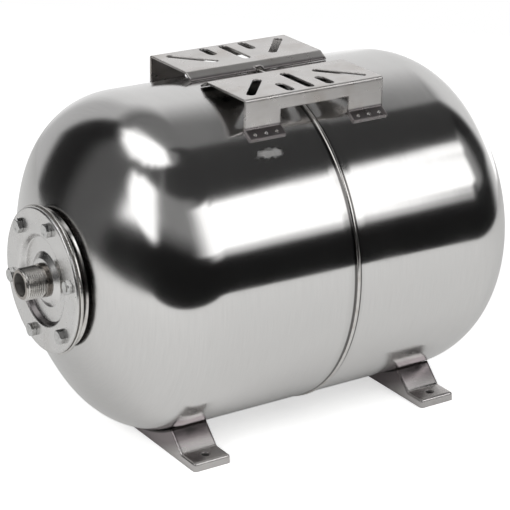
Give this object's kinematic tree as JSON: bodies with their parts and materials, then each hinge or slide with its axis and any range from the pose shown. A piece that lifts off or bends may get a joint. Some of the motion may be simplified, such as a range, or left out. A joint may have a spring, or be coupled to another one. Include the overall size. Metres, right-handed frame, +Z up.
{
  "type": "well pressure tank",
  "caption": "Horizontal stainless pressure vessel with a bolted water flange, pressed saddle feet, an air valve and slotted plates on top that carry a pump.",
  "frame": {"origin": "centre of the overall box, at the floor under the feet", "axes": "+X along the tank from the water flange to the air valve, +Y across the feet towards the left pump bracket, +Z up"},
  "size_m": [0.5632, 0.3528, 0.363],
  "materials": {
    "polished_stainless": "polished lengthwise to a soft mirror",
    "stainless_sheet": "fine brushed sheet",
    "stainless_turned": "turned",
    "fastener_steel": "satin",
    "weld_metal": "smooth bead",
    "bladder_rubber": "matte",
    "seal_rubber": "matte",
    "valve_brass": "turned",
    "spring_steel": "drawn wire",
    "cap_plastic": "moulded"
  },
  "bodies": {
    "tank": {"front_shell": "polished_stainless", "rear_shell": "polished_stainless", "seam_weld": "weld_metal", "neck_ring": "stainless_turned", "neck_weld": "weld_metal", "bladder": "bladder_rubber", "water_flange": "stainless_sheet", "water_nipple": "stainless_turned", "flange_bolts": "fastener_steel", "front_foot": "stainless_sheet", "rear_foot": "stainless_sheet", "left_pump_bracket": "stainless_sheet", "right_pump_bracket": "stainless_sheet", "valve_stem": "valve_brass", "valve_gasket": "seal_rubber", "valve_washer": "fastener_steel", "valve_nut": "valve_brass", "valve_core": "valve_brass", "valve_core_ring": "seal_rubber"},
    "valve_pin": {"valve_pin": "valve_brass", "valve_pin_seal": "seal_rubber", "valve_spring": "spring_steel"},
    "valve_cap": {"valve_cap": "cap_plastic"}
  },
  "joints": [
    {"name": "valve_pin_press", "type": "slide", "parent": "tank", "child": "valve_pin", "axis": [-1, 0, 0], "range_m": [0, 0.0012], "stiffness_N_per_m": 1500, "springref_m": -0.0005},
    {"name": "valve_cap_removal", "type": "slide", "parent": "tank", "child": "valve_cap", "axis": [1, 0, 0], "range_m": [0, 0.015]}
  ]
}
